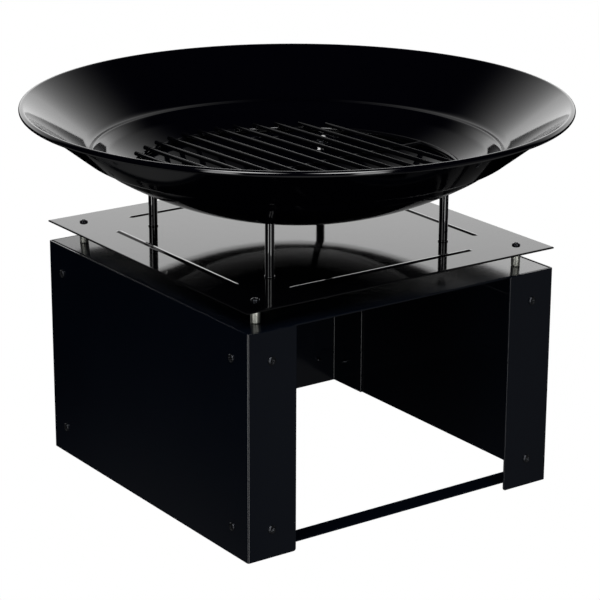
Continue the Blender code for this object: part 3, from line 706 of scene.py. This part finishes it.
RING_RADIUS = 0.179
RING_WIRE = 0.003
RING_HEIGHT = 0.3460
CROSS_WIRE = 0.0028
BAR_WIRE = 0.0025
BAR_COUNT = 13
BAR_PITCH = 0.023
BAR_OVERHANG = 0.005
WELD_DEPTH = 0.0006
GRATE_TURN = np.radians(3.0)

# Enamel on steel wire, thinner than on the bowl and lumpy at 3 mm where it ran. To the eye it is
# black and a little duller than the bowl, with thin, uneven highlights along each wire.
wire_enamel, tree, shader = new_material("black_enamelled_wire")
place = add_node(tree, "ShaderNodeTexCoord").outputs["Object"]
lump = add_node(tree, "ShaderNodeTexNoise", {"Scale": 300.0, "Detail": 2.0}, {"Vector": place})
tone = add_node(tree, "ShaderNodeMix", {"data_type": "RGBA", 6: linear("#020203"), 7: linear("#040406")},
                {"Factor": lump.outputs["Fac"]})
tree.links.new(tone.outputs[2], shader.inputs["Base Color"])
gloss = add_node(tree, "ShaderNodeMapRange", {"To Min": 0.08, "To Max": 0.16},
                 {"Value": lump.outputs["Fac"]})
tree.links.new(gloss.outputs["Result"], shader.inputs["Roughness"])
skin = add_node(tree, "ShaderNodeBump", {"Strength": 0.15, "Distance": 0.0002},
                {"Height": lump.outputs["Fac"]})
tree.links.new(skin.outputs["Normal"], shader.inputs["Normal"])
shader.inputs["IOR"].default_value = 1.5
shader.inputs["Specular IOR Level"].default_value = 0.28


def straight_wire(start, end, wire, sides=16):
    """Grid of a straight round wire between two points with domed ends: rings of radius
    wire * sin(a) drawn back by wire * cos(a) * 0.5 close each end."""
    start, end = np.array(start, float), np.array(end, float)
    axis = (end - start) / np.linalg.norm(end - start)
    across = np.cross([0, 0, 1.0], axis)
    across /= np.linalg.norm(across)
    up = np.cross(axis, across)
    turn = np.linspace(0, 2 * np.pi, sides, endpoint=False)[:, None]
    ring = np.cos(turn) * across + np.sin(turn) * up
    dome = np.radians([0, 25, 50, 75, 90])
    near = [start + axis * wire * 0.5 * (1 - np.cos(a)) + wire * np.sin(a) * ring for a in dome]
    far = [end - axis * wire * 0.5 * (1 - np.cos(a)) + wire * np.sin(a) * ring for a in dome]
    return np.array(near + far[::-1]), True


turn = np.linspace(0, 2 * np.pi, 256, endpoint=False)
around = np.linspace(0, 2 * np.pi, 17)[:, None]
ring_reach = RING_RADIUS + RING_WIRE * np.cos(around)
hoop = np.stack([ring_reach * np.cos(turn), ring_reach * np.sin(turn),
                 RING_HEIGHT + RING_WIRE * np.sin(around) * np.ones_like(turn)], axis=-1)
wires = [(hoop, True)]
bar_height = RING_HEIGHT + RING_WIRE + BAR_WIRE - WELD_DEPTH
for offset in (np.arange(BAR_COUNT) - (BAR_COUNT - 1) / 2) * BAR_PITCH:
    reach = np.sqrt((RING_RADIUS + BAR_OVERHANG) ** 2 - offset**2)
    wires.append(straight_wire((offset, -reach, bar_height), (offset, reach, bar_height), BAR_WIRE))
wires.append(straight_wire((-RING_RADIUS, 0, RING_HEIGHT), (RING_RADIUS, 0, RING_HEIGHT), CROSS_WIRE))
grate = make_piece("loose_wire_grate", spin_about_z(wires, GRATE_TURN), wire_enamel)
finish_piece(grate, "grate", "grate_enamel", "grate")

# ================================================================ floor, light and camera
# A white studio cove: a flat floor that curves up into a round backdrop. It only shows behind the
# fire pit and isn't mirrored in it, so the enamel reflects nothing but the soft lights.

COVE_PROFILE = [(0, -0.0005), (8, -0.0005), (11, 1.5), (12, 5), (9, 9), (0, 11)]

# Matt white studio paint, lit evenly all over. To the eye it is one plain white, without shade.
cove_paint, tree, shader = new_material("white_cove_paint")
shader.inputs["Base Color"].default_value = linear("#000000")
shader.inputs["Specular IOR Level"].default_value = 0.0
shader.inputs["Emission Color"].default_value = linear("#FFFFFF")
shader.inputs["Emission Strength"].default_value = 1.0

cove = make_piece("white_studio_cove", [turned(COVE_PROFILE, 64)], cove_paint)
for ray in ("diffuse", "glossy", "transmission", "volume_scatter", "shadow"):
    setattr(cove, f"visible_{ray}", False)
bpy.context.scene.view_settings.view_transform = "Standard"

# Soft light in a dark room. A wide wall wash stands across from the camera: full up to WASH_FULL,
# then fading with the square of the height left to WASH_TOP, and fading out sideways. A narrow
# dark gap stands high in its middle. Two upright strips light the posts from the camera's side.
# Heights are sines of elevation, and other reaches are cosines or sines of angles, each given as
# the value where a light or gap starts and the value where it is full.
CAMERA_YAW = 35.23            # degrees from +Y towards +X
WASH_STRENGTH = 1.62
WASH_FULL = 0.28
WASH_TOP = 0.79
WASH_HORIZON = (-0.03, 0.03)
WASH_SIDES = (0.35, 0.75)
GAP_HEIGHTS = (0.34, 0.50)
GAP_HALF_WIDTH = (0.08, 0.02)
STRIP_AZIMUTHS = (-150, 150)
STRIP_STRENGTH = 5.0
STRIP_HALF_WIDTH = (0.14, 0.07)
STRIP_TOP = (0.50, 0.40)
STRIP_BOTTOM = (-0.50, -0.40)
STRIP_SIDE = (0.2, 0.4)

# Round lights with soft edges: four dim glows off the floor and two bright key lights high behind
# the camera. Azimuth from the camera's bearing, elevation, cosine at the edge, brightness.
ROUND_LIGHTS = [
    (172, -50, 0.80, 0.36),
    (108, -16, 0.90, 0.085),
    (-66, -47, 0.88, 0.18),
    (70, -47, 0.86, 0.20),
    (152, 50, 0.96, 15.0),
    (-152, 50, 0.96, 15.0),
]

world = bpy.data.worlds.new("dark_studio_with_wall_wash")
bpy.context.scene.world = world
world.use_nodes = True
tree = world.node_tree
tree.nodes["Background"].inputs["Color"].default_value = linear("#FFFFFF")
towards = add_node(tree, "ShaderNodeTexCoord").outputs["Generated"]
height = add_node(tree, "ShaderNodeSeparateXYZ", links={"Vector": towards}).outputs["Z"]


def fade(light, amount, start, end, power=1.0, curve="LINEAR"):
    """A light times (share of the way that an amount has gone from start to end) ** power. The
    light is a number or another fade."""
    share = add_node(tree, "ShaderNodeMapRange", {"interpolation_type": curve, "From Min": start,
                                                  "From Max": end}, {"Value": amount})
    shaped = add_node(tree, "ShaderNodeMath", {"operation": "POWER", 1: power},
                      {0: share.outputs["Result"]})
    settings = {"operation": "MULTIPLY"}
    links = {0: shaped.outputs["Value"]}
    (links if isinstance(light, bpy.types.NodeSocket) else settings)[1] = light
    return add_node(tree, "ShaderNodeMath", settings, links).outputs["Value"]


def facing(azimuth, elevation):
    """Cosine of the angle to a direction given from the camera's bearing, in degrees."""
    turn, rise = np.radians([azimuth + CAMERA_YAW, elevation])
    aim = (np.sin(turn) * np.cos(rise), np.cos(turn) * np.cos(rise), np.sin(rise))
    return add_node(tree, "ShaderNodeVectorMath", {"operation": "DOT_PRODUCT", 1: aim},
                    {0: towards}).outputs["Value"]


def off_centre(azimuth):
    """Size of the sine of the sideways angle to an upright plane through an azimuth."""
    return add_node(tree, "ShaderNodeMath", {"operation": "ABSOLUTE"},
                    {0: facing(azimuth + 90, 0)}).outputs["Value"]


wash = fade(WASH_STRENGTH, height, WASH_TOP, WASH_FULL, power=2.0)
wash = fade(wash, height, *WASH_HORIZON, curve="SMOOTHSTEP")
wash = fade(wash, facing(0, 0), *WASH_SIDES, curve="SMOOTHSTEP")
gap = fade(1.0, height, *GAP_HEIGHTS, curve="SMOOTHSTEP")
gap = fade(gap, off_centre(0), *GAP_HALF_WIDTH, curve="SMOOTHSTEP")
lights = [fade(wash, gap, 1.0, 0.0)]
for azimuth, elevation, edge, strength in ROUND_LIGHTS:
    lights.append(fade(strength, facing(azimuth, elevation), edge, 1.0, curve="SMOOTHSTEP"))
for azimuth in STRIP_AZIMUTHS:
    strip = fade(STRIP_STRENGTH, off_centre(azimuth), *STRIP_HALF_WIDTH)
    strip = fade(strip, facing(azimuth, 0), *STRIP_SIDE)
    strip = fade(strip, height, *STRIP_TOP)
    lights.append(fade(strip, height, *STRIP_BOTTOM))
total = lights[0]
for light in lights[1:]:
    total = add_node(tree, "ShaderNodeMath", {"operation": "ADD"}, {0: total, 1: light}).outputs["Value"]
tree.links.new(total, tree.nodes["Background"].inputs["Strength"])

# A long lens well above the rim, looking down into the bowl, with everything in focus.
CAMERA_LENS = 139.46
CAMERA_PLACE = (-1.4144, -2.0098, 1.0006)
CAMERA_PITCH = 18.17          # degrees below level
CAMERA_ROLL = 0.24

camera_data = bpy.data.cameras.new("camera")
camera_data.lens = CAMERA_LENS
camera_data.sensor_width = 36.0
camera = bpy.data.objects.new("camera", camera_data)
bpy.context.scene.collection.objects.link(camera)
bpy.context.scene.camera = camera
yaw, pitch, tilt = np.radians([CAMERA_YAW, CAMERA_PITCH, CAMERA_ROLL])
forward = np.array([np.sin(yaw) * np.cos(pitch), np.cos(yaw) * np.cos(pitch), -np.sin(pitch)])
level = np.array([np.cos(yaw), -np.sin(yaw), 0])
above = np.cross(level, forward)
right = np.cos(tilt) * level + np.sin(tilt) * above
above = np.cross(right, forward)
pose = np.eye(4)
pose[:3, :4] = np.column_stack([right, above, -forward, CAMERA_PLACE])
camera.matrix_world = Matrix(pose.tolist())
